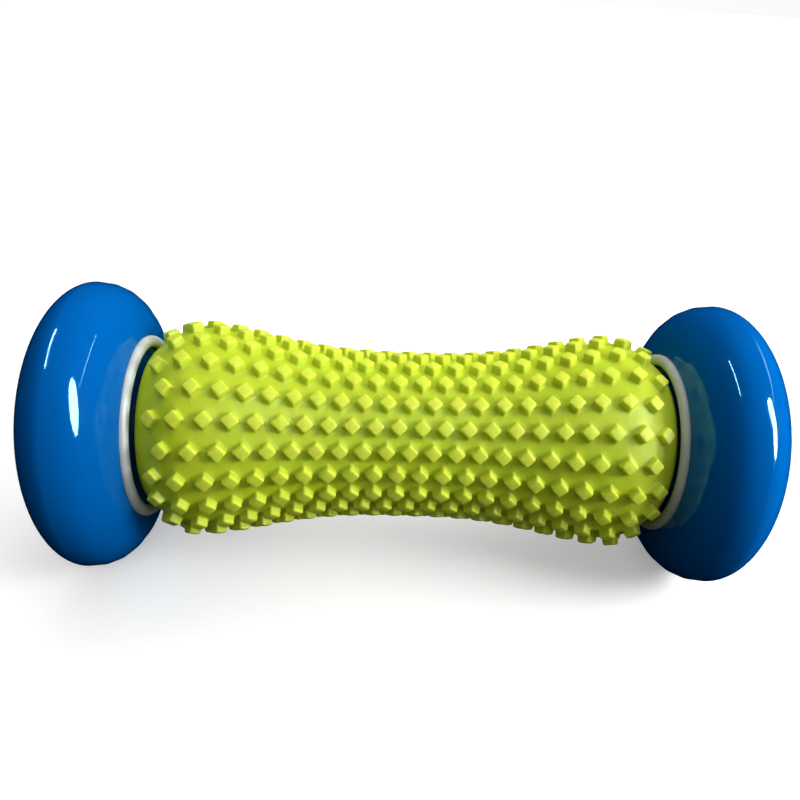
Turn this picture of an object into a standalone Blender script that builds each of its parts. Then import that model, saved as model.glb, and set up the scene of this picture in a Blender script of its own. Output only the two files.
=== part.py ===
"""Foot massage roller: a nubbed hourglass drum that turns freely between two larger floor wheels.

The axle lies along X, the floor is the plane z = 0, and the origin is on the floor below the middle.
Constants are in millimetres. Each piece is drawn for the right-hand end, about the axle; the left-hand
copy is the same piece turned half a turn about Z.
"""

import math

import bmesh
import bpy
from mathutils import Matrix, Vector

MM = 0.001
GAP = 0.3                       # between pieces that touch each other

# Wheels: a hollow tyre with an oval section, 80 mm across and widest at TREAD_X
WHEEL_RADIUS = 40.0             # across the flats of the tread, and so the axle's height
WHEEL_SEGMENTS = 32
TREAD_X = 86.5
SECTION_RADIUS = 18.5           # radius at which the section is thickest
SECTION_RISE = WHEEL_RADIUS - SECTION_RADIUS
INNER_HALF_WIDTH = 14.2         # from the widest circle towards the drum
INNER_POWER = 2.35              # 2 is an ellipse, more is squarer
INNER_STEPS = 6
OUTER_HALF_WIDTH = 12.4
OUTER_POWER = 1.9
OUTER_STEPS = 5
WHEEL_WALL = 2.4
HOLLOW_MOUTH_RADIUS = 32.9      # ends of the wall behind the tread: at the cover's seat
HOLLOW_DISC_RADIUS = 29.2       # and at the disc
HOLLOW_MOUTH_STEPS = 2
HOLLOW_DISC_STEPS = 3
WHEEL_DISC_X = 73.7             # face of the wheel inside the collar ring
HUB_BORE_RADIUS = 6.9
HUB_RADIUS = 9.5
HUB_END_X = 93.0
RIB_OUTER_RADIUS = 22.5         # ring rib on the back of the disc, just short of the cover
RIB_INNER_RADIUS = 20.7
RIB_END_X = 94.5
MOUTH_RADIUS = 28.0             # opening in the outer side that the cover closes
MOUTH_SEAT_RADIUS = 25.5
MOUTH_SEAT_X = 95.0
MOUTH_SEAT_BACK_X = 92.8

# Cover, hub cap and collar ring
COVER_FACE_X = TREAD_X + OUTER_HALF_WIDTH
COVER_STEPS = 3
COVER_SPIGOT_WALL = 2.2
COVER_SPIGOT_END_X = 91.0
COVER_BOSS_RADIUS = 12.0
COVER_BOSS_END_X = 90.0
CAP_RADIUS = 17.0
CAP_FACE_X = 99.3               # the outermost face, so half the overall length
CAP_BACK_X = 97.6
CAP_EDGE = 0.5
CAP_SPIGOT_INNER_RADIUS = 8.2
CAP_SPIGOT_END_X = 95.2
RING_OUTER_RADIUS = 25.7
RING_INNER_RADIUS = 22.6
RING_FRONT_X = 71.2
RING_BULGE = 1.2
RING_STEPS = 4

# Axle set
AXLE_RADIUS = 4.0
AXLE_END_X = 93.0
AXLE_CHAMFER = 0.4
AXLE_SEGMENTS = 16
TAPPED_RADIUS = 1.9
TAPPED_END_X = 79.0
SCREW_RADIUS = 1.6
SCREW_TIP_X = 81.0
SCREW_HEAD_RADIUS = 3.6
SCREW_HEAD_HEIGHT = 2.2
SOCKET_RADIUS = 1.5
SOCKET_DEPTH = 1.1
WASHER_RADIUS = 7.0
WASHER_HOLE_RADIUS = 2.3
WASHER_THICKNESS = 1.2
SPACER_X = 70.7
SPACER_THICKNESS = 1.0
SPACER_RADIUS = 7.5
SPACER_HOLE_RADIUS = 4.3

# Flanged bushes, two in the drum and one in each wheel
BUSH_BORE_RADIUS = 4.2
BUSH_RADIUS = HUB_BORE_RADIUS - GAP
FLANGE_RADIUS = 8.5
WHEEL_FLANGE_X = 72.0
WHEEL_FLANGE_BACK_X = WHEEL_DISC_X - GAP
DRUM_FLANGE_THICKNESS = 1.2

# Drum: the sleeve swells from its waist to each end, then rounds over onto the end cap
DRUM_SHIFT = 0.4                # the drum lies towards the right wheel within its end float
WAIST_RADIUS = 21.6
SWELL = 6.75
SWELL_END_X = 58.0
SWELL_POWER = 1.55
SHOULDER_POWER = 1.75           # 2 is a parabola, less is nearer to a cone
SLEEVE_WALL = 2.6
SLEEVE_END_X = 71.2             # just inside the collar ring's bore
LIP_RADIUS = 21.3
LIP_BORE_RADIUS = 18.5
LIP_THICKNESS = 2.4
DRUM_STATIONS = (50.0, 40.0, 28.0, 14.0, 0.0)
SHOULDER_STATIONS = (66.0, 63.5, 61.0)
OUTER_END_STATIONS = (68.6, 69.9)       # outside, past the last nubs

# Nubs: square pyramids cut off flat, each with one corner pointing along the drum
ROWS = 22
FIRST_ROW = 0.31                # of a row's pitch above -Y
NUB_PITCH = 6.09
END_SHIFT = 1.4                 # the last nubs stand this much further out than the pitch gives
END_SHIFT_START_X = 50.0
END_SHIFT_FULL_X = 59.5
NUB_HEIGHT = 2.2
NUB_HALF_DIAGONAL = 2.45
NUB_TOP_HALF_DIAGONAL = 2.15
NUB_LEAN = 0.6                  # share of the sleeve's slope that a nub leans by
SLOPE_REACH = 0.5               # to each side of a nub's middle, for the slope it stands on
LONG_ROW_NUBS = 22
SHORT_ROW_NUBS = 21

# Core: two hollow halves that meet at the waist, and a cap in each end
CORE_GAP = 0.6                  # to the sleeve, whose flats don't line up with the core's
CORE_WALL = 2.2
TONGUE_RADIUS = 15.9
TONGUE_BORE_RADIUS = 14.1
TONGUE_LENGTH = 6.0
END_CAP_FACE_X = 68.5
CAP_DISC_THICKNESS = 2.2
CAP_PLUG_RADIUS = 22.65
CAP_PLUG_END_RADIUS = 22.25
CAP_PLUG_BORE_RADIUS = 20.6
CAP_PLUG_END_X = 54.0
DRUM_HUB_END_X = 56.5


def clear_scene():
    for obj in list(bpy.data.objects):
        bpy.data.objects.remove(obj, do_unlink=True)


def material(name, colour, roughness, metallic=0.0):
    mat = bpy.data.materials.new(name)
    mat.use_nodes = True
    shader = mat.node_tree.nodes["Principled BSDF"]
    shader.inputs["Base Color"].default_value = (*colour, 1.0)
    shader.inputs["Roughness"].default_value = roughness
    shader.inputs["Metallic"].default_value = metallic
    mat.diffuse_color = (*colour, 1.0)
    return mat


def body_frame(name, x=0.0, turned_round=False):
    """An empty on the axle that a rigid body's pieces hang from."""
    empty = bpy.data.objects.new(name, None)
    empty.location = (x * MM, 0.0, WHEEL_RADIUS * MM)
    empty.rotation_euler.z = math.pi if turned_round else 0.0
    bpy.context.scene.collection.objects.link(empty)
    return empty


def add_piece(name, mesh, mat, parent, turned_round=False):
    obj = bpy.data.objects.new(name, mesh)
    obj.parent = parent
    obj.rotation_euler.z = math.pi if turned_round else 0.0
    if not mesh.materials:
        mesh.materials.append(mat)
    bpy.context.scene.collection.objects.link(obj)
    return obj


def finished_mesh(name, bm):
    bmesh.ops.remove_doubles(bm, verts=bm.verts, dist=1e-6)
    bmesh.ops.recalc_face_normals(bm, faces=bm.faces)
    mesh = bpy.data.meshes.new(name)
    bm.to_mesh(mesh)
    bm.free()
    mesh.shade_smooth()
    mesh.set_sharp_from_angle(angle=math.radians(35))
    return mesh


def turned(name, outline, segments, radius_scale=1.0):
    """A solid of revolution about X from an outline of (x, radius) points.

    The outline closes on itself, unless both its ends are on the axis. The first face of the round is
    centred on the bottom, so the solid has a flat there.
    """
    bm = bmesh.new()
    half_step = Matrix.Rotation(math.pi / segments, 4, "X")
    verts = [bm.verts.new(half_step @ Vector((x * MM, 0.0, r * radius_scale * MM))) for x, r in outline]
    pairs = list(zip(verts, verts[1:]))
    if outline[0][1] > 0.0:
        pairs.append((verts[-1], verts[0]))
    edges = [bm.edges.new(pair) for pair in pairs]
    bmesh.ops.spin(bm, geom=verts + edges, cent=(0, 0, 0), axis=(1, 0, 0), dvec=(0, 0, 0),
                   angle=math.tau, steps=segments, use_merge=True)
    return finished_mesh(name, bm)


def turned_wheel_piece(name, outline):
    """Like turned, with the radii measured to the flats."""
    return turned(name, outline, WHEEL_SEGMENTS, 1.0 / math.cos(math.pi / WHEEL_SEGMENTS))


# --- Wheels ---------------------------------------------------------------

def section_arc(half_width, power, rise, start_radius, end_radius, steps):
    """Points of the oval wheel section between two radii; half_width < 0 is the side of the drum."""
    def angle_at(radius):
        return math.asin(((radius - SECTION_RADIUS) / rise) ** (power / 2))

    first = angle_at(start_radius)
    last = angle_at(end_radius)
    points = []
    for step in range(steps + 1):
        angle = first + (last - first) * step / steps
        x = TREAD_X + half_width * max(math.cos(angle), 0.0) ** (2 / power)
        points.append((x, SECTION_RADIUS + rise * math.sin(angle) ** (2 / power)))
    return points


def wheel_shell_mesh():
    inner_face = section_arc(-INNER_HALF_WIDTH, INNER_POWER, SECTION_RISE,
                             RING_OUTER_RADIUS + GAP, WHEEL_RADIUS, INNER_STEPS)
    outer_face = section_arc(OUTER_HALF_WIDTH, OUTER_POWER, SECTION_RISE,
                             WHEEL_RADIUS, MOUTH_RADIUS, OUTER_STEPS)
    hollow_rise = SECTION_RISE - WHEEL_WALL
    hollow_outer = section_arc(OUTER_HALF_WIDTH - WHEEL_WALL, OUTER_POWER, hollow_rise,
                               HOLLOW_MOUTH_RADIUS, WHEEL_RADIUS - WHEEL_WALL, HOLLOW_MOUTH_STEPS)
    hollow_inner = section_arc(-INNER_HALF_WIDTH + WHEEL_WALL, INNER_POWER, hollow_rise,
                               WHEEL_RADIUS - WHEEL_WALL, HOLLOW_DISC_RADIUS, HOLLOW_DISC_STEPS)
    disc_back_x = WHEEL_DISC_X + WHEEL_WALL
    outline = [(WHEEL_DISC_X, HUB_BORE_RADIUS), (WHEEL_DISC_X, RING_OUTER_RADIUS + GAP)]
    outline += inner_face + outer_face[1:]
    outline += [(MOUTH_SEAT_X, MOUTH_RADIUS), (MOUTH_SEAT_X, MOUTH_SEAT_RADIUS),
                (MOUTH_SEAT_BACK_X, MOUTH_SEAT_RADIUS)]
    outline += hollow_outer + hollow_inner[1:]
    outline += [(disc_back_x, RIB_OUTER_RADIUS), (RIB_END_X, RIB_OUTER_RADIUS),
                (RIB_END_X, RIB_INNER_RADIUS), (disc_back_x, RIB_INNER_RADIUS)]
    outline += [(disc_back_x, HUB_RADIUS), (HUB_END_X, HUB_RADIUS), (HUB_END_X, HUB_BORE_RADIUS)]
    return turned_wheel_piece("wheel_shell", outline)


def wheel_cover_mesh():
    rim_radius = MOUTH_RADIUS - GAP
    rim_back_x = MOUTH_SEAT_X + GAP
    spigot_radius = MOUTH_SEAT_RADIUS - GAP
    recess_x = CAP_BACK_X - GAP
    recess_radius = CAP_RADIUS + GAP
    hole_radius = HUB_RADIUS + GAP
    outline = [(rim_back_x, rim_radius)]
    outline += section_arc(OUTER_HALF_WIDTH, OUTER_POWER, SECTION_RISE,
                           rim_radius, SECTION_RADIUS, COVER_STEPS)
    outline += [(COVER_FACE_X, recess_radius), (recess_x, recess_radius), (recess_x, hole_radius),
                (COVER_BOSS_END_X, hole_radius), (COVER_BOSS_END_X, COVER_BOSS_RADIUS),
                (MOUTH_SEAT_X, COVER_BOSS_RADIUS), (MOUTH_SEAT_X, spigot_radius - COVER_SPIGOT_WALL),
                (COVER_SPIGOT_END_X, spigot_radius - COVER_SPIGOT_WALL),
                (COVER_SPIGOT_END_X, spigot_radius), (rim_back_x, spigot_radius)]
    return turned_wheel_piece("wheel_cover", outline)


def hub_cap_mesh():
    outline = [(CAP_FACE_X, 0.0), (CAP_FACE_X, CAP_RADIUS - CAP_EDGE), (CAP_FACE_X - CAP_EDGE, CAP_RADIUS),
               (CAP_BACK_X, CAP_RADIUS), (CAP_BACK_X, HUB_RADIUS), (CAP_SPIGOT_END_X, HUB_RADIUS),
               (CAP_SPIGOT_END_X, CAP_SPIGOT_INNER_RADIUS), (CAP_BACK_X, CAP_SPIGOT_INNER_RADIUS),
               (CAP_BACK_X, 0.0)]
    return turned_wheel_piece("hub_cap", outline)


def collar_ring_mesh():
    back_x = WHEEL_DISC_X - GAP
    middle_radius = (RING_OUTER_RADIUS + RING_INNER_RADIUS) / 2
    half_height = (RING_OUTER_RADIUS - RING_INNER_RADIUS) / 2
    outline = [(back_x, RING_OUTER_RADIUS)]
    for step in range(RING_STEPS + 1):
        angle = math.pi * step / RING_STEPS
        outline.append((RING_FRONT_X + RING_BULGE * (1 - math.sin(angle)),
                        middle_radius + half_height * math.cos(angle)))
    outline.append((back_x, RING_INNER_RADIUS))
    return turned_wheel_piece("collar_ring", outline)


def bush_mesh(name, flange_face_x, flange_back_x, far_end_x):
    outline = [(flange_face_x, BUSH_BORE_RADIUS), (flange_face_x, FLANGE_RADIUS),
               (flange_back_x, FLANGE_RADIUS), (flange_back_x, BUSH_RADIUS),
               (far_end_x, BUSH_RADIUS), (far_end_x, BUSH_BORE_RADIUS)]
    return turned(name, outline, AXLE_SEGMENTS)


# --- Axle set -------------------------------------------------------------

def axle_mesh():
    right_end = [(TAPPED_END_X, 0.0), (TAPPED_END_X, TAPPED_RADIUS), (AXLE_END_X, TAPPED_RADIUS),
                 (AXLE_END_X, AXLE_RADIUS - AXLE_CHAMFER), (AXLE_END_X - AXLE_CHAMFER, AXLE_RADIUS)]
    left_end = [(-x, r) for x, r in reversed(right_end)]
    return turned("axle", right_end + left_end, AXLE_SEGMENTS)


def washer_mesh(name, x, thickness, hole_radius, radius):
    outline = [(x, hole_radius), (x, radius), (x + thickness, radius), (x + thickness, hole_radius)]
    return turned(name, outline, AXLE_SEGMENTS)


def screw_mesh(head_x):
    edge = SCREW_HEAD_HEIGHT / 3
    top_x = head_x + SCREW_HEAD_HEIGHT
    outline = [(SCREW_TIP_X, 0.0), (SCREW_TIP_X, SCREW_RADIUS), (head_x, SCREW_RADIUS),
               (head_x, SCREW_HEAD_RADIUS), (top_x - edge, SCREW_HEAD_RADIUS),
               (top_x, SCREW_HEAD_RADIUS - edge), (top_x, 0.0)]
    return turned("axle_screw", outline, AXLE_SEGMENTS)


def cut_hex_socket(screw, cutter_mesh, parent, turned_round):
    cutter = add_piece(screw.name + "_socket_cutter", cutter_mesh, None, parent, turned_round)
    cutter.hide_render = True
    cutter.display_type = "WIRE"
    cut = screw.modifiers.new("hex_socket", "BOOLEAN")
    cut.operation = "DIFFERENCE"
    cut.solver = "EXACT"
    cut.object = cutter


def socket_cutter_mesh(head_top_x):
    bm = bmesh.new()
    along_axle = Matrix.Translation((head_top_x * MM, 0, 0)) @ Matrix.Rotation(math.pi / 2, 4, "Y")
    bmesh.ops.create_cone(bm, cap_ends=True, segments=6, radius1=SOCKET_RADIUS * MM,
                          radius2=SOCKET_RADIUS * MM, depth=2 * SOCKET_DEPTH * MM, matrix=along_axle)
    return finished_mesh("socket_cutter", bm)


# --- Drum -----------------------------------------------------------------

def sleeve_radius(x):
    """Outer radius of the sleeve between its nubs."""
    distance = abs(x)
    widest = WAIST_RADIUS + SWELL
    if distance <= SWELL_END_X:
        t = (distance / SWELL_END_X) ** SWELL_POWER
        return WAIST_RADIUS + SWELL * t * t * (3 - 2 * t)
    along = (distance - SWELL_END_X) / (SLEEVE_END_X - SWELL_END_X)
    return widest - (widest - LIP_RADIUS) * along ** SHOULDER_POWER


def nub_stations(count):
    """Distances of one row's nubs from the middle of the drum."""
    stations = []
    for number in range(count):
        x = NUB_PITCH * (number - (count - 1) / 2)
        past = (abs(x) - END_SHIFT_START_X) / (END_SHIFT_FULL_X - END_SHIFT_START_X)
        stations.append(x + math.copysign(END_SHIFT * min(max(past, 0.0), 1.0), x))
    return stations


def row_angle(row):
    return math.tau * (row + FIRST_ROW) / ROWS


def round_point(x, radius, angle):
    """A point on a circle about the axle; angle 0 is at -Y, a quarter turn is at the top."""
    return Vector((x, -radius * math.cos(angle), radius * math.sin(angle)))


def add_ring(bm, x, radius):
    """One vertex on each row's line."""
    return [bm.verts.new(round_point(x, radius, row_angle(row)) * MM) for row in range(ROWS)]


def bridge(bm, ring, next_ring):
    for row in range(ROWS):
        after = (row + 1) % ROWS
        bm.faces.new((ring[row], ring[after], next_ring[after], next_ring[row]))


def add_nub(bm, x, angle):
    """A square nub; returns its base corners: left, lower, right and upper."""
    radius = sleeve_radius(x)
    spread = NUB_HALF_DIAGONAL / radius
    base = []
    for dx, turn in ((-1, 0), (0, -1), (1, 0), (0, 1)):
        corner_x = x + dx * NUB_HALF_DIAGONAL
        base.append(bm.verts.new(round_point(corner_x, sleeve_radius(corner_x), angle + turn * spread) * MM))
    slope = NUB_LEAN * (sleeve_radius(x + SLOPE_REACH) - sleeve_radius(x - SLOPE_REACH)) / (2 * SLOPE_REACH)
    along = round_point(1, slope, angle).normalized()
    around = Vector((0, math.sin(angle), math.cos(angle)))
    outward = round_point(-slope, 1, angle).normalized()
    centre = round_point(x, radius, angle) + outward * NUB_HEIGHT
    top = []
    for direction in (-along, -around, along, around):
        top.append(bm.verts.new((centre + direction * NUB_TOP_HALF_DIAGONAL) * MM))
    bm.faces.new(top)
    for corner in range(4):
        after = (corner + 1) % 4
        bm.faces.new((base[corner], base[after], top[after], top[corner]))
    return base


def stitch(bm, lower, upper):
    """Triangles between two lines of vertices, always across the shorter way."""
    i = j = 0
    while i < len(lower) - 1 or j < len(upper) - 1:
        can_step_lower = i < len(lower) - 1
        can_step_upper = j < len(upper) - 1
        if can_step_lower and can_step_upper:
            step_lower = (lower[i + 1].co - upper[j].co).length < (lower[i].co - upper[j + 1].co).length
        else:
            step_lower = can_step_lower
        if step_lower:
            bm.faces.new((lower[i], lower[i + 1], upper[j]))
            i += 1
        else:
            bm.faces.new((lower[i], upper[j + 1], upper[j]))
            j += 1


def sleeve_mesh():
    """The soft skin: nubs outside, the core's shape inside, and a lip turned in over each end cap.

    Rows of 22 and 21 nubs alternate, counted both ways from the moulding lines at the front and back.
    """
    bm = bmesh.new()
    lip_back_x = SLEEVE_END_X - LIP_THICKNESS
    half = [(x, sleeve_radius(x)) for x in OUTER_END_STATIONS]
    half += [(SLEEVE_END_X, LIP_RADIUS), (SLEEVE_END_X, LIP_BORE_RADIUS), (lip_back_x, LIP_BORE_RADIUS)]
    half += [(x, sleeve_radius(x) - SLEEVE_WALL)
             for x in (lip_back_x, *SHOULDER_STATIONS, SWELL_END_X, *DRUM_STATIONS)]
    outline = half + [(-x, r) for x, r in half[-2::-1]]
    rings = [add_ring(bm, x, r) for x, r in outline]
    for ring, next_ring in zip(rings, rings[1:]):
        bridge(bm, ring, next_ring)

    lines = []
    for row in range(ROWS):
        from_moulding_line = min(row, ROWS - 1 - row)
        count = LONG_ROW_NUBS if from_moulding_line % 2 == 0 else SHORT_ROW_NUBS
        below, above = [rings[-1][row]], [rings[-1][row]]
        for x in nub_stations(count):
            left, lower, right, upper = add_nub(bm, x, row_angle(row))
            below += [left, lower, right]
            above += [left, upper, right]
        lines.append((below + [rings[0][row]], above + [rings[0][row]]))
    for row in range(ROWS):
        stitch(bm, lines[row][1], lines[(row + 1) % ROWS][0])
    return finished_mesh("massage_sleeve", bm)


def core_radius(x):
    return sleeve_radius(x) - SLEEVE_WALL - CORE_GAP


def core_half_mesh(name, with_tongue):
    joint_x = GAP / 2
    stations = [joint_x, *DRUM_STATIONS[-2::-1], SWELL_END_X - GAP / 2]
    outline = [(x, core_radius(x)) for x in stations]
    outline += [(x, core_radius(x) - CORE_WALL) for x in stations[:0:-1]]
    if with_tongue:
        outline += [(TONGUE_LENGTH, TONGUE_BORE_RADIUS), (-TONGUE_LENGTH, TONGUE_BORE_RADIUS),
                    (-TONGUE_LENGTH, TONGUE_RADIUS), (joint_x, TONGUE_RADIUS)]
    else:
        outline.append((joint_x, core_radius(joint_x) - CORE_WALL))
    return turned(name, outline, ROWS)


def end_cap_mesh():
    back_x = SWELL_END_X + GAP / 2
    disc_back_x = END_CAP_FACE_X - CAP_DISC_THICKNESS
    outline = [(DRUM_HUB_END_X, HUB_BORE_RADIUS), (END_CAP_FACE_X, HUB_BORE_RADIUS)]
    outline += [(x, core_radius(x)) for x in (END_CAP_FACE_X, *SHOULDER_STATIONS, back_x)]
    outline += [(back_x, CAP_PLUG_RADIUS), (CAP_PLUG_END_X, CAP_PLUG_END_RADIUS),
                (CAP_PLUG_END_X, CAP_PLUG_BORE_RADIUS), (disc_back_x, CAP_PLUG_BORE_RADIUS),
                (disc_back_x, HUB_RADIUS), (DRUM_HUB_END_X, HUB_RADIUS)]
    return turned("core_end_cap", outline, ROWS)


# --- Assembly -------------------------------------------------------------

def main():
    clear_scene()
    lime_pvc = material("lime_pvc", (0.52, 0.72, 0.04), 0.45)
    blue_abs = material("blue_abs", (0.0, 0.11, 0.50), 0.08)
    white_abs = material("white_abs", (0.62, 0.64, 0.61), 0.55)
    grey_abs = material("grey_abs", (0.32, 0.33, 0.34), 0.5)
    acetal = material("acetal", (0.80, 0.79, 0.74), 0.35)
    steel = material("steel", (0.55, 0.56, 0.58), 0.3, 1.0)

    axle_set = body_frame("axle_set_frame")
    add_piece("axle", axle_mesh(), steel, axle_set)
    washer_x = AXLE_END_X + GAP
    head_x = washer_x + WASHER_THICKNESS + GAP
    axle_set_meshes = {
        "axle_washer": (washer_mesh("axle_washer", washer_x, WASHER_THICKNESS, WASHER_HOLE_RADIUS,
                                    WASHER_RADIUS), steel),
        "spacer_washer": (washer_mesh("spacer_washer", SPACER_X, SPACER_THICKNESS, SPACER_HOLE_RADIUS,
                                      SPACER_RADIUS), acetal),
        "axle_screw": (screw_mesh(head_x), steel),
    }
    socket_cutter = socket_cutter_mesh(head_x + SCREW_HEAD_HEIGHT)

    drum = body_frame("drum_frame", DRUM_SHIFT)
    add_piece("massage_sleeve", sleeve_mesh(), lime_pvc, drum)
    add_piece("core_half_right", core_half_mesh("core_half_right", False), grey_abs, drum)
    add_piece("core_half_left", core_half_mesh("core_half_left", True), grey_abs, drum, turned_round=True)
    flange_back_x = END_CAP_FACE_X + GAP
    drum_meshes = {
        "core_end_cap": (end_cap_mesh(), grey_abs),
        "drum_bush": (bush_mesh("drum_bush", flange_back_x + DRUM_FLANGE_THICKNESS, flange_back_x,
                                DRUM_HUB_END_X), acetal),
    }

    wheel_meshes = {
        "wheel_shell": (wheel_shell_mesh(), blue_abs),
        "wheel_cover": (wheel_cover_mesh(), blue_abs),
        "hub_cap": (hub_cap_mesh(), blue_abs),
        "collar_ring": (collar_ring_mesh(), white_abs),
        "wheel_bush": (bush_mesh("wheel_bush", WHEEL_FLANGE_X, WHEEL_FLANGE_BACK_X, HUB_END_X), acetal),
    }

    for side, is_left in (("left", True), ("right", False)):
        for name, (mesh, mat) in axle_set_meshes.items():
            piece = add_piece(f"{name}_{side}", mesh, mat, axle_set, turned_round=is_left)
            if name == "axle_screw":
                cut_hex_socket(piece, socket_cutter, axle_set, is_left)
        for name, (mesh, mat) in drum_meshes.items():
            add_piece(f"{name}_{side}", mesh, mat, drum, turned_round=is_left)
        wheel = body_frame(f"{side}_wheel_frame", turned_round=is_left)
        for name, (mesh, mat) in wheel_meshes.items():
            add_piece(f"{name}_{side}", mesh, mat, wheel)


main()
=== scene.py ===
"""Foot massage roller: finished surfaces and materials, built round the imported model.

X runs along the axle, and a radius is measured from it. Lengths named before the stage are in
millimetres, and MM turns them into metres. The stage and its lights are laid out in metres.
"""

import math

import bmesh
import bpy
from mathutils import Matrix, Vector
from mathutils.geometry import delaunay_2d_cdt


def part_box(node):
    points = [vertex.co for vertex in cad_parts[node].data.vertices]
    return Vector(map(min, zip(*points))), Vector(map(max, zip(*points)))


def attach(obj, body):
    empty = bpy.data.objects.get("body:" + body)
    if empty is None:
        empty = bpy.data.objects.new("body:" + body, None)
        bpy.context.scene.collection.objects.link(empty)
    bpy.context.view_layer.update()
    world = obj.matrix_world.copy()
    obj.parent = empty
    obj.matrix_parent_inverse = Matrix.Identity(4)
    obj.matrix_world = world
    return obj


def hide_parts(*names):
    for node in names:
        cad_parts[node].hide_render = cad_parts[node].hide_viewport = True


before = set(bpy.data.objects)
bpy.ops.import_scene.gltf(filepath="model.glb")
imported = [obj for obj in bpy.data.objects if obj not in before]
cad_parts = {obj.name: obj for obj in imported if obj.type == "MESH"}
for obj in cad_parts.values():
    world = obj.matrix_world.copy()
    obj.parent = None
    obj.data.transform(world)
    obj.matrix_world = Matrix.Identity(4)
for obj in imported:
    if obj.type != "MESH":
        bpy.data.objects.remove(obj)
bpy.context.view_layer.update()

MM = 0.001
SIDES = ("left", "right")

# Turned pieces
EDGE_RADIUS = 0.35              # on their sharp corners
EDGE_SHARE = 0.3                # the most of a side that the rounding of its end takes
EDGE_HOLD = 1.5                 # a point this many roundings from the corner holds the side flat
EDGE_STEPS = 5
SHARP_TURN = math.radians(50)   # an outline that turns by less is part of a curve
WHEEL_FACETS = 32               # the wheels' CAD solids are measured across their flats
WHEEL_STEPS = 128
SMALL_STEPS = 64
SAME_PLACE = 1e-6               # metres between vertices that are one
SAME_ANGLE = 1e-3               # radians between vertices on one meridian

# The wheels' crown: the outer half of their oval section, a superellipse about its widest point
TREAD_X = 86.5
SECTION_RADIUS = 18.5
WHEEL_RADIUS = 40.0
CROWN_HALF_WIDTH = 12.4
CROWN_POWER = 1.9
CROWN_FOOT = 0.01               # share of its rise below which nothing counts as the crown
CROWN_MISS = 0.004              # the most by which the formula misses a CAD point on the crown
CROWN_STEPS = 6                 # fine steps in each CAD step of the crown

# Sleeve, about the middle of the drum
WAIST_RADIUS = 21.6
SWELL = 6.75
SWELL_END_X = 58.0
SWELL_POWER = 1.55
SHOULDER_POWER = 1.75
SLEEVE_END_X = 71.2
LIP_RADIUS = 21.3
LIP_BORE_RADIUS = 18.5
LIP_THICKNESS = 2.4
LIP_ROUNDING = 0.5              # radius of the lip's edges
LIP_STEPS = 5
SLEEVE_WALL = 2.6
INSIDE_STEPS = 24
FIELD_END_X = 68.6              # the nubs' field ends here, and plain rings go on to the lip
ROWS = 22
FIRST_ROW = 0.31                # of a row's pitch above -Y
LONG_ROW_NUBS = 22
SHORT_ROW_NUBS = 21
NUB_PITCH = 6.09
END_SHIFT = 1.4                 # the last nubs stand this much further out than the pitch gives
END_SHIFT_START_X = 50.0
END_SHIFT_FULL_X = 59.5
NUB_LEVELS = (                  # half diagonal, corner radius and height of a nub's rings
    (2.95, 0.70, 0.00),
    (2.70, 0.62, 0.10),
    (2.57, 0.58, 0.35),
    (2.46, 0.58, 1.45),
    (2.41, 0.58, 1.78),
    (2.29, 0.56, 2.02),
    (2.09, 0.52, 2.15),
    (1.80, 0.46, 2.20),
)
NUB_CROWN = 2.22                # height of a nub's middle
NUB_LEAN = 0.6                  # share of the sleeve's slope that a nub leans by
NUB_STIFF_HEIGHT = 1.2          # below this a nub's rings bend to the drum's round
CORNER_STEPS = 4                # in each rounded corner of a nub's ring
RING_SPLIT = 6                  # points of a ring round the sleeve from one row to the next
GROUND_STEP = 1.3               # between the points of a line along the drum
GROUND_LINES = 4                # lines of points between two rows
NUB_CLEARANCE = 0.45            # between those points and a nub's foot
INSIDE_FACES = 1                # asks the triangulation for the faces within its border only
SAME_POINT = 1e-5               # millimetres between points that are one, in the triangulation

axle_low, axle_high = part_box("axle")
AXLE_Z = (axle_low.z + axle_high.z) / 2     # in metres


# --- Meshes ---------------------------------------------------------------

def finished(name, bm, body, slot, material, *replaced):
    """Makes a piece from bm: it rides on a body, stands for CAD nodes and has one material."""
    bmesh.ops.recalc_face_normals(bm, faces=bm.faces)
    mesh = bpy.data.meshes.new(name)
    bm.to_mesh(mesh)
    bm.free()
    mesh.shade_smooth()
    mesh.materials.append(material)
    piece = bpy.data.objects.new(name, mesh)
    bpy.context.scene.collection.objects.link(piece)
    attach(piece, body)
    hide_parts(*replaced)


def outline_of(node, scale):
    """The (x, radius) outline that a turned CAD piece was spun from, and whether it closes on itself.

    A flat end has no vertex on the axle, so an outline that is open gets a point there at each end.
    """
    bm = bmesh.new()
    bm.from_mesh(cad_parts[node].data)
    bmesh.ops.remove_doubles(bm, verts=bm.verts, dist=SAME_PLACE)

    def polar(vert):
        return math.hypot(vert.co.y, vert.co.z - AXLE_Z), math.atan2(vert.co.z - AXLE_Z, vert.co.y)

    meridian = polar(max(bm.verts, key=lambda vert: polar(vert)[0]))[1]
    line = {vert for vert in bm.verts
            if abs(math.remainder(polar(vert)[1] - meridian, math.tau)) < SAME_ANGLE}
    beside = {vert: [edge.other_vert(vert) for edge in vert.link_edges if edge.other_vert(vert) in line]
              for vert in line}
    ends = [vert for vert in line if len(beside[vert]) == 1]
    walk = [min(ends or line, key=lambda vert: (vert.co.x, polar(vert)[0]))]
    while len(walk) < len(line):
        walk.append(next(vert for vert in beside[walk[-1]] if vert not in walk))
    outline = [Vector((vert.co.x, polar(vert)[0] * scale)) for vert in walk]
    bm.free()
    if ends:
        outline = [Vector((outline[0].x, 0.0))] + outline + [Vector((outline[-1].x, 0.0))]
    return outline, not ends


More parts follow.
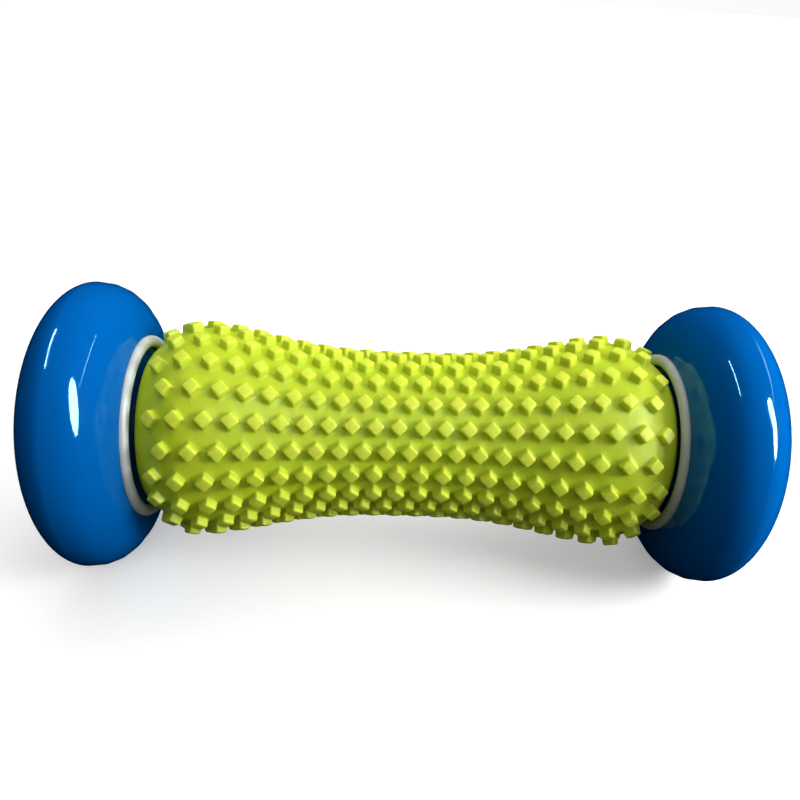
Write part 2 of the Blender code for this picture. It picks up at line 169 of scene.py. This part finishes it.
def crown_angle(point):
    """Where a point lies on the wheels' crown, or None if it isn't on it."""
    beyond = abs(point.x) / MM - TREAD_X
    rise = (point.y / MM - SECTION_RADIUS) / (WHEEL_RADIUS - SECTION_RADIUS)
    if beyond < -CROWN_MISS or rise < CROWN_FOOT:
        return None
    if abs(abs(beyond / CROWN_HALF_WIDTH) ** CROWN_POWER + rise ** CROWN_POWER - 1) > CROWN_MISS:
        return None
    return math.asin(min(1.0, rise ** (CROWN_POWER / 2)))


def crown_point(angle, side):
    x = TREAD_X + CROWN_HALF_WIDTH * max(math.cos(angle), 0.0) ** (2 / CROWN_POWER)
    radius = SECTION_RADIUS + (WHEEL_RADIUS - SECTION_RADIUS) * math.sin(angle) ** (2 / CROWN_POWER)
    return Vector((side * x, radius)) * MM


def with_fine_crown(outline):
    """Adds points of the true oval between the CAD points on the crown. The inner half isn't refined."""
    fine = []
    for point, after in zip(outline, outline[1:] + outline[:1]):
        fine.append(point)
        first, last = crown_angle(point), crown_angle(after)
        if first is None or last is None:
            continue
        side = math.copysign(1.0, point.x)
        for step in range(1, CROWN_STEPS):
            fine.append(crown_point(first + (last - first) * step / CROWN_STEPS, side))
    return fine


def rounded(outline, closed):
    """Rounds an outline's sharp corners, and holds the flats beside them flat with one more point."""
    result = []
    last = len(outline) - 1
    for i, corner in enumerate(outline):
        before, after = outline[i - 1], outline[(i + 1) % len(outline)]
        if not closed and i in (0, last):
            result.append(corner)
            continue
        way_in, way_out = corner - before, after - corner
        if way_in.angle(way_out) < SHARP_TURN:
            result.append(corner)
            continue
        reach = min(EDGE_RADIUS * MM, EDGE_SHARE * way_in.length, EDGE_SHARE * way_out.length)
        back, ahead = way_in.normalized() * reach, way_out.normalized() * reach
        result.append(corner - EDGE_HOLD * back)
        for step in range(EDGE_STEPS + 1):
            t = step / EDGE_STEPS
            result.append(corner - back * (1 - t) ** 2 + ahead * t * t)
        result.append(corner + EDGE_HOLD * ahead)
    return result


def spun(outline, closed, steps):
    """A bmesh of the outline turned about the axle."""
    bm = bmesh.new()
    verts = [bm.verts.new((point.x, 0.0, point.y)) for point in outline]
    pairs = list(zip(verts, verts[1:]))
    if closed:
        pairs.append((verts[-1], verts[0]))
    edges = [bm.edges.new(pair) for pair in pairs]
    bmesh.ops.spin(bm, geom=verts + edges, cent=(0, 0, 0), axis=(1, 0, 0), dvec=(0, 0, 0),
                   angle=math.tau, steps=steps, use_merge=True)
    bmesh.ops.remove_doubles(bm, verts=bm.verts, dist=SAME_PLACE)
    bmesh.ops.translate(bm, verts=bm.verts, vec=(0, 0, AXLE_Z))
    return bm


def turned_copy(node, body, slot, material, steps, scale=1.0):
    """Makes a finely turned piece in place of a faceted CAD one, with its radii times scale."""
    outline, closed = outline_of(node, scale)
    bm = spun(rounded(with_fine_crown(outline), closed), closed, steps)
    finished("fine_" + node, bm, body, slot, material, node)


# --- Sleeve ---------------------------------------------------------------

def sleeve_radius(x):
    """Outer radius of the sleeve between its nubs."""
    if abs(x) <= SWELL_END_X:
        t = (abs(x) / SWELL_END_X) ** SWELL_POWER
        return WAIST_RADIUS + SWELL * t * t * (3 - 2 * t)
    along = (abs(x) - SWELL_END_X) / (SLEEVE_END_X - SWELL_END_X)
    widest = WAIST_RADIUS + SWELL
    return widest - (widest - LIP_RADIUS) * along ** SHOULDER_POWER


def inner_outline():
    """From the right-hand field edge round the lip, through the inside and out to the left-hand one."""
    lip_slope = SHOULDER_POWER * (WAIST_RADIUS + SWELL - LIP_RADIUS) / (SLEEVE_END_X - SWELL_END_X)
    lip_turn = math.pi / 2 - math.atan(lip_slope)
    rounding_x = SLEEVE_END_X - LIP_ROUNDING
    lip_back = SLEEVE_END_X - LIP_THICKNESS
    half = []
    for i in range(1, LIP_STEPS):
        x = FIELD_END_X + (rounding_x - FIELD_END_X) * i / LIP_STEPS
        half.append((x, sleeve_radius(x)))
    for i in range(LIP_STEPS + 1):
        angle = lip_turn * (1 - i / LIP_STEPS)
        half.append((rounding_x + LIP_ROUNDING * math.cos(angle),
                     LIP_RADIUS - LIP_ROUNDING * (1 - math.sin(angle))))
    for i in range(LIP_STEPS + 1):
        angle = math.pi / 2 * i / LIP_STEPS
        half.append((rounding_x + LIP_ROUNDING * math.cos(angle),
                     LIP_BORE_RADIUS + LIP_ROUNDING * (1 - math.sin(angle))))
    half.append((lip_back, LIP_BORE_RADIUS))
    for i in range(INSIDE_STEPS + 1):
        x = lip_back * (1 - i / INSIDE_STEPS)
        half.append((x, sleeve_radius(x) - SLEEVE_WALL))
    return half + [(-x, radius) for x, radius in half[-2::-1]]


def round_point(x, radius, angle):
    """A point about the axle; angle 0 is at -Y, a quarter turn is at the top."""
    return Vector((x, -radius * math.cos(angle), radius * math.sin(angle)))


def row_angle(row):
    return math.tau * (row + FIRST_ROW) / ROWS


def nub_stations(row):
    """Distances of a row's nubs from the middle of the drum.

    Rows of 22 and 21 alternate, counted both ways from the moulding lines at the front and back.
    """
    count = LONG_ROW_NUBS if min(row, ROWS - 1 - row) % 2 == 0 else SHORT_ROW_NUBS
    stations = []
    for number in range(count):
        x = NUB_PITCH * (number - (count - 1) / 2)
        past = (abs(x) - END_SHIFT_START_X) / (END_SHIFT_FULL_X - END_SHIFT_START_X)
        stations.append(x + math.copysign(END_SHIFT * min(max(past, 0.0), 1.0), x))
    return stations


def diamond(half_diagonal, corner_radius):
    """Points round a square that stands on one rounded corner: left, lower, right, then upper corner."""
    reach = half_diagonal - corner_radius * math.sqrt(2)
    points = []
    for corner in range(4):
        middle = math.pi * (1 + corner / 2)
        for step in range(CORNER_STEPS + 1):
            angle = middle + (step / CORNER_STEPS - 0.5) * math.pi / 2
            points.append((reach * math.cos(middle) + corner_radius * math.cos(angle),
                           reach * math.sin(middle) + corner_radius * math.sin(angle)))
    return points


class Sleeve:
    """The soft skin with its nubs, built in millimetres about the middle of the drum."""

    def __init__(self):
        self.bm = bmesh.new()
        self.rise = self.bm.verts.layers.float.new("rise")
        self.flat = {}          # the (x, angle) of each ground vertex

    def vert(self, co, rise=0.0):
        vert = self.bm.verts.new(co)
        vert[self.rise] = rise
        return vert

    def ground_vert(self, x, angle):
        vert = self.vert(round_point(x, sleeve_radius(x), angle))
        self.flat[vert] = (x, angle)
        return vert

    def band(self, ring, next_ring):
        """Quads between two closed rings of as many points."""
        for i in range(len(ring)):
            after = (i + 1) % len(ring)
            self.bm.faces.new((ring[i], ring[after], next_ring[after], next_ring[i]))

    def nub(self, x, angle):
        """One nub; returns the vertices round its foot."""
        radius = sleeve_radius(x)
        slope = NUB_LEAN * (sleeve_radius(x + 0.5) - sleeve_radius(x - 0.5))    # over one millimetre
        along = round_point(1, slope, angle).normalized()
        around = Vector((0, math.sin(angle), math.cos(angle)))
        outward = round_point(-slope, 1, angle).normalized()
        centre = round_point(x, radius, angle)
        foot = ring = None
        for half_diagonal, corner_radius, height in NUB_LEVELS:
            verts = []
            stiff = min(1.0, height / NUB_STIFF_HEIGHT)
            for dx, ds in diamond(half_diagonal, corner_radius):
                if height == 0:
                    verts.append(self.ground_vert(x + dx, angle + ds / radius))
                    continue
                bent = round_point(x + dx, sleeve_radius(x + dx), angle + ds / radius)
                straight = centre + along * dx + around * ds
                verts.append(self.vert(bent.lerp(straight, stiff) + outward * height, height / NUB_CROWN))
            if ring:
                self.band(ring, verts)
            foot = foot or verts
            ring = verts
        crown = self.vert(centre + outward * NUB_CROWN, 1.0)
        for i, vert in enumerate(ring):
            self.bm.faces.new((vert, ring[(i + 1) % len(ring)], crown))
        return foot

    def row_line(self, start, end, angle):
        """Ground vertices evenly between two places on a row's line, without its ends."""
        count = int(abs(end - start) / GROUND_STEP)
        return [self.ground_vert(start + (end - start) * (i + 1) / (count + 1), angle) for i in range(count)]

    def row(self, row, left_end, right_end):
        """A row of nubs; returns the lines of ground vertices below it and above it."""
        angle = row_angle(row)
        left_tip = CORNER_STEPS // 2
        right_tip = left_tip + 2 * (CORNER_STEPS + 1)
        below, above = [left_end], [left_end]
        for x in nub_stations(row):
            foot = self.nub(x, angle)
            lower = foot[left_tip:right_tip + 1]
            upper = [foot[left_tip - i] for i in range(len(foot) - len(lower) + 2)]
            gap = self.row_line(self.flat[below[-1]][0], self.flat[foot[left_tip]][0], angle)
            below += gap + lower
            above += gap + upper
        gap = self.row_line(self.flat[below[-1]][0], FIELD_END_X, angle)
        return below + gap + [right_end], above + gap + [right_end]

    def ground_places(self, row):
        """The (x, angle) of ground points between a row and the next, clear of both rows' nubs."""
        step = math.tau / ROWS
        reach = NUB_LEVELS[0][0] + NUB_CLEARANCE * math.sqrt(2)
        nubs = [(x, side * step) for side in (0, 1) for x in nub_stations((row + side) % ROWS)]
        columns = int(2 * FIELD_END_X / GROUND_STEP)
        for column in range(1, columns):
            x = FIELD_END_X * (2 * column / columns - 1)
            radius = sleeve_radius(x)
            for line in range(1, GROUND_LINES + 1):
                turn = step * line / (GROUND_LINES + 1)
                if all(abs(x - nub_x) + abs(turn - nub_turn) * radius > reach for nub_x, nub_turn in nubs):
                    yield x, row_angle(row) + turn

    def strip(self, row, lower, upper, left, right):
        """Fills the ground between one row's upper line and the next row's lower line."""
        border = lower + right + upper[::-1] + left[::-1]
        verts = border + [self.ground_vert(x, angle) for x, angle in self.ground_places(row)]
        base = row_angle(row)
        half_step = math.pi / ROWS
        flat_radius = WAIST_RADIUS + SWELL / 2
        points = []
        for x, angle in (self.flat[vert] for vert in verts):
            points.append(Vector((x, math.remainder(angle - base - half_step, math.tau) * flat_radius)))
        loop = list(range(len(border)))
        edges = list(zip(loop, loop[1:] + loop[:1]))
        _, _, faces, sources, _, _ = delaunay_2d_cdt(points, edges, [loop], INSIDE_FACES, SAME_POINT)
        for face in faces:
            self.bm.faces.new([verts[sources[i][0]] for i in face])

    def field_edge(self, x):
        return [self.ground_vert(x, row_angle(i / RING_SPLIT)) for i in range(ROWS * RING_SPLIT)]

    def plain_ring(self, x, radius):
        return [self.vert(round_point(x, radius, row_angle(i / RING_SPLIT)))
                for i in range(ROWS * RING_SPLIT)]

    def build(self):
        left_ring, right_ring = self.field_edge(-FIELD_END_X), self.field_edge(FIELD_END_X)
        lines = [self.row(row, left_ring[row * RING_SPLIT], right_ring[row * RING_SPLIT])
                 for row in range(ROWS)]
        for row in range(ROWS):
            between = range(row * RING_SPLIT + 1, (row + 1) * RING_SPLIT)
            self.strip(row, lines[row][1], lines[(row + 1) % ROWS][0],
                       [left_ring[i] for i in between], [right_ring[i] for i in between])
        rings = [self.plain_ring(x, radius) for x, radius in inner_outline()]
        for ring, next_ring in zip([right_ring] + rings, rings + [left_ring]):
            self.band(ring, next_ring)
        return self.bm


def make_sleeve(material):
    bm = Sleeve().build()
    low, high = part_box("massage_sleeve")
    middle = Vector(((low.x + high.x) / 2, 0, AXLE_Z))
    bm.transform(Matrix.Translation(middle) @ Matrix.Scale(MM, 4))
    finished("sleeve_skin", bm, "drum", "lime_pvc", material, "massage_sleeve")


# --- Materials ------------------------------------------------------------

class Look:
    """A node material on a Principled shader, with textures in the object's own coordinates."""

    def __init__(self, name, **settings):
        self.material = bpy.data.materials.new(name)
        self.material.use_nodes = True
        self.nodes = self.material.node_tree.nodes
        self.links = self.material.node_tree.links
        self.shader = self.nodes["Principled BSDF"]
        for socket, value in settings.items():
            self.shader.inputs[socket.replace("_", " ")].default_value = value
        self.place = self.nodes.new("ShaderNodeTexCoord").outputs["Object"]

    def node(self, kind, inputs, output=0, **properties):
        """Adds a node; an input is a value or another node's output."""
        node = self.nodes.new(kind)
        for name, value in properties.items():
            setattr(node, name, value)
        for key, value in inputs.items():
            if isinstance(value, bpy.types.NodeSocket):
                self.links.new(value, node.inputs[key])
            else:
                node.inputs[key].default_value = value
        return node.outputs[output]

    def noise(self, size, detail, stretch=(1, 1, 1)):
        """Soft noise whose features are about size across, in metres."""
        vector = self.node("ShaderNodeMapping", {"Vector": self.place, "Scale": stretch})
        return self.node("ShaderNodeTexNoise", {"Vector": vector, "Scale": 1 / size, "Detail": detail})

    def ranged(self, value, low, high, to_low=0.0, to_high=1.0):
        return self.node("ShaderNodeMapRange", {"Value": value, "From Min": low, "From Max": high,
                                                "To Min": to_low, "To Max": to_high})

    def product(self, a, b):
        return self.node("ShaderNodeMath", {0: a, 1: b}, operation="MULTIPLY")

    def mixed(self, factor, a, b):
        return self.node("ShaderNodeMix", {"Factor": factor, "A": a, "B": b}, "Result", data_type="RGBA")

    def bumped(self, height, distance, under=None):
        inputs = {"Height": height, "Distance": distance, "Strength": 1.0}
        if under:
            inputs["Normal"] = under
        return self.node("ShaderNodeBump", inputs)

    def wire(self, socket, value):
        self.links.new(value, self.shader.inputs[socket])


def colour(red, green, blue):
    return (red, green, blue, 1.0)


def lime_pvc():
    look = Look("lime_pvc", Specular_IOR_Level=0.12, Subsurface_Weight=0.4, Subsurface_Scale=1.2 * MM,
                Subsurface_Radius=(1.0, 0.6, 0.2))
    cloud = look.ranged(look.noise(9 * MM, 3), 0.35, 0.65)
    speck = look.ranged(look.noise(0.7 * MM, 2), 0.35, 0.65)
    rise = look.node("ShaderNodeAttribute", {}, "Fac", attribute_name="rise")
    ground = look.mixed(cloud, colour(0.52, 0.65, 0.020), colour(0.55, 0.68, 0.028))
    # Painted light and sheen: nub tops get a lighter, whiter copy of the lime, blended in by their height,
    # so they read brighter than the ground between the nubs.
    painted_lit_tops = look.mixed(cloud, colour(0.69, 0.81, 0.056), colour(0.72, 0.83, 0.068))
    base = look.mixed(rise, ground, painted_lit_tops)
    look.wire("Base Color", look.mixed(look.product(speck, 0.12), base, colour(0.46, 0.58, 0.01)))
    look.wire("Roughness", look.ranged(speck, 0, 1, 0.42, 0.52))
    grain = look.bumped(look.noise(0.45 * MM, 3), 0.05 * MM)
    look.wire("Normal", look.bumped(look.noise(4 * MM, 2), 0.12 * MM, grain))
    return look.material


def blue_abs():
    look = Look("blue_abs", Specular_IOR_Level=0.5, Specular_Tint=colour(0.30, 0.80, 1.0))
    cloud = look.ranged(look.noise(25 * MM, 2), 0.3, 0.7)
    look.wire("Base Color", look.mixed(cloud, colour(0.0, 0.113, 0.43), colour(0.0, 0.121, 0.47)))
    scuff = look.ranged(look.noise(3 * MM, 6, (6, 1, 1)), 0.58, 0.72)
    look.wire("Roughness", look.ranged(scuff, 0, 1, 0.06, 0.13))
    look.wire("Normal", look.bumped(look.noise(6 * MM, 1), 0.03 * MM))
    return look.material


def plain_plastic(name, dark, light, roughness, grain):
    look = Look(name)
    cloud = look.ranged(look.noise(6 * MM, 3), 0.3, 0.7)
    look.wire("Base Color", look.mixed(cloud, dark, light))
    look.wire("Roughness", look.ranged(cloud, 0, 1, roughness, roughness + 0.1))
    look.wire("Normal", look.bumped(look.noise(grain, 3), 0.04 * MM))
    return look.material


def steel():
    look = Look("steel", Metallic=1.0)
    rings = look.noise(0.3 * MM, 2, (8, 1, 1))
    look.wire("Base Color", look.mixed(rings, colour(0.48, 0.49, 0.51), colour(0.62, 0.63, 0.65)))
    look.wire("Roughness", look.ranged(rings, 0, 1, 0.22, 0.38))
    look.wire("Normal", look.bumped(rings, 0.01 * MM))
    return look.material


def make_materials():
    materials = {"lime_pvc": lime_pvc(), "blue_abs": blue_abs()}
    for name, dark, light, roughness, grain in (
            ("white_abs", colour(0.54, 0.57, 0.56), colour(0.60, 0.63, 0.62), 0.5, 0.3 * MM),
            ("grey_abs", colour(0.29, 0.30, 0.31), colour(0.34, 0.35, 0.36), 0.5, 0.4 * MM),
            ("acetal", colour(0.76, 0.75, 0.70), colour(0.82, 0.81, 0.76), 0.3, 0.5 * MM)):
        materials[name] = plain_plastic(name, dark, light, roughness, grain)
    materials["steel"] = steel()
    return materials


# --- Pieces ---------------------------------------------------------------

def make_turned_pieces(materials):
    """All the round pieces, the wheels' at their radius across the flats, and the steel of the screws."""
    flats = math.cos(math.pi / WHEEL_FACETS)
    turned_copy("axle", "axle_set", "steel", materials["steel"], SMALL_STEPS)
    for side in SIDES:
        for node, body, slot, steps, scale in (
                ("axle_washer", "axle_set", "steel", SMALL_STEPS, 1.0),
                ("spacer_washer", "axle_set", "acetal", SMALL_STEPS, 1.0),
                ("core_half", "drum", "grey_abs", WHEEL_STEPS, 1.0),
                ("core_end_cap", "drum", "grey_abs", WHEEL_STEPS, 1.0),
                ("drum_bush", "drum", "acetal", SMALL_STEPS, 1.0),
                ("wheel_shell", f"{side}_wheel", "blue_abs", WHEEL_STEPS, flats),
                ("wheel_cover", f"{side}_wheel", "blue_abs", WHEEL_STEPS, flats),
                ("hub_cap", f"{side}_wheel", "blue_abs", WHEEL_STEPS, flats),
                ("collar_ring", f"{side}_wheel", "white_abs", WHEEL_STEPS, flats),
                ("wheel_bush", f"{side}_wheel", "acetal", SMALL_STEPS, 1.0)):
            turned_copy(f"{node}_{side}", body, slot, materials[slot], steps, scale)
        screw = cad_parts[f"axle_screw_{side}"]
        screw.data.materials.clear()
        screw.data.materials.append(materials["steel"])


# --- Stage ----------------------------------------------------------------

FLOOR_RADIUS = 30.0
FLOOR_GLOW = 0.3
BACKDROP_RADIUS = 4.0
BACKDROP_GLOW = 0.8
STAGE_STEPS = 96
CAMERA_PLACE = (-9.471, -169.745, 155.770)      # in millimetres
CAMERA_ELEVATION = math.radians(34)
CAMERA_YAW = 0.039
CAMERA_ROLL = 0.033
LENS = 31.76
SENSOR = 36.0
FRAME_SHIFT = 0.0375
CLIP_START = 0.01
SKY_TOP = (0.50, 0.00, 0.85)    # the sky is brightest this way
SKY_STOPS = (                   # place between the darkest and the brightest side, and grey
    (0.00, 0.02),
    (0.38, 0.05),
    (0.55, 0.16),
    (0.75, 0.48),
    (1.00, 1.05),
)


def make_camera():
    camera = bpy.data.objects.new("camera", bpy.data.cameras.new("camera"))
    camera.data.lens = LENS
    camera.data.sensor_width = SENSOR
    camera.data.shift_y = FRAME_SHIFT
    camera.data.clip_start = CLIP_START
    camera.data.clip_end = 2 * FLOOR_RADIUS
    turn = (Matrix.Rotation(math.pi / 2 - CAMERA_ELEVATION, 4, "X") @ Matrix.Rotation(-CAMERA_YAW, 4, "Y")
            @ Matrix.Rotation(CAMERA_ROLL, 4, "Z"))
    camera.matrix_world = Matrix.Translation(Vector(CAMERA_PLACE) * MM) @ turn
    bpy.context.scene.collection.objects.link(camera)
    bpy.context.scene.camera = camera


def stage_piece(name, bm, glow):
    """A pale part of the stage that neither reflects in the roller nor lights it."""
    mesh = bpy.data.meshes.new(name)
    bm.to_mesh(mesh)
    bm.free()
    look = Look(name, Roughness=0.8, Emission_Color=colour(1, 1, 1), Emission_Strength=glow)
    patch = look.noise(0.3, 2)
    look.wire("Base Color", look.mixed(patch, colour(0.86, 0.86, 0.86), colour(0.90, 0.90, 0.90)))
    mesh.materials.append(look.material)
    piece = bpy.data.objects.new(name, mesh)
    piece.visible_glossy = False
    piece.visible_diffuse = False
    bpy.context.scene.collection.objects.link(piece)
    return piece


def make_floor():
    bm = bmesh.new()
    bmesh.ops.create_circle(bm, cap_ends=True, radius=FLOOR_RADIUS, segments=STAGE_STEPS)
    stage_piece("floor", bm, FLOOR_GLOW)


def make_backdrop():
    """An open wall round the stage, so that views from low down end in the floor's own tone."""
    bm = bmesh.new()
    bmesh.ops.create_cone(bm, radius1=BACKDROP_RADIUS, radius2=BACKDROP_RADIUS, depth=2 * BACKDROP_RADIUS,
                          segments=STAGE_STEPS)
    stage_piece("backdrop", bm, BACKDROP_GLOW).visible_shadow = False


def make_world():
    world = bpy.data.worlds.new("studio")
    world.use_nodes = True
    nodes, links = world.node_tree.nodes, world.node_tree.links
    direction = nodes.new("ShaderNodeTexCoord")
    height = nodes.new("ShaderNodeVectorMath")
    height.operation = "DOT_PRODUCT"
    height.inputs[1].default_value = Vector(SKY_TOP).normalized()
    ramp = nodes.new("ShaderNodeValToRGB")
    shift = nodes.new("ShaderNodeMapRange")
    shift.inputs["From Min"].default_value = -1.0
    links.new(direction.outputs["Generated"], height.inputs[0])
    links.new(height.outputs["Value"], shift.inputs["Value"])
    links.new(shift.outputs[0], ramp.inputs[0])
    while len(ramp.color_ramp.elements) < len(SKY_STOPS):
        ramp.color_ramp.elements.new(0.5)
    for element, (position, grey) in zip(ramp.color_ramp.elements, SKY_STOPS):
        element.position = position
        element.color = colour(grey, grey, grey)
    links.new(ramp.outputs["Color"], nodes["Background"].inputs["Color"])
    world.cycles_visibility.glossy = False
    bpy.context.scene.world = world


def make_light(name, kind, towards, distance=1.0, **settings):
    """A light that shines on the middle of the roller from the direction `towards`."""
    light = bpy.data.objects.new(name, bpy.data.lights.new(name, kind))
    for key, value in settings.items():
        setattr(light.data, key, value)
    away = Vector(towards).normalized()
    light.location = away * distance + Vector((0, 0, AXLE_Z))
    light.rotation_euler = away.to_track_quat("Z", "Y").to_euler()
    light.visible_camera = False
    bpy.context.scene.collection.objects.link(light)
    return light


def make_lights():
    """Two lights that colour the roller, and three that only show on it as highlights."""
    key = make_light("key", "AREA", (0.854, -0.323, 0.408), 0.42, shape="DISK", size=0.18, energy=1.5)
    back = make_light("back", "SUN", (0.2, 0.75, 0.65), energy=1.4, angle=math.radians(70))
    for light in (key, back):
        light.visible_glossy = False
    for name, towards, shape, size, size_y, energy in (
            ("window", (0.64, -0.49, 0.58), "ELLIPSE", 0.32, 0.80, 42.0),
            ("strip", (-0.385, 0.0, 0.89), "RECTANGLE", 0.55, 0.022, 2.2),
            ("streak", (0.70, 0.12, 0.68), "ELLIPSE", 0.80, 0.02, 0.9)):
        light = make_light(name, "AREA", towards, shape=shape, size=size, size_y=size_y, energy=energy)
        light.visible_diffuse = False


def main():
    materials = make_materials()
    make_turned_pieces(materials)
    make_sleeve(materials["lime_pvc"])
    make_camera()
    make_floor()
    make_backdrop()
    make_world()
    make_lights()
    bpy.context.scene.view_settings.view_transform = "Standard"


main()
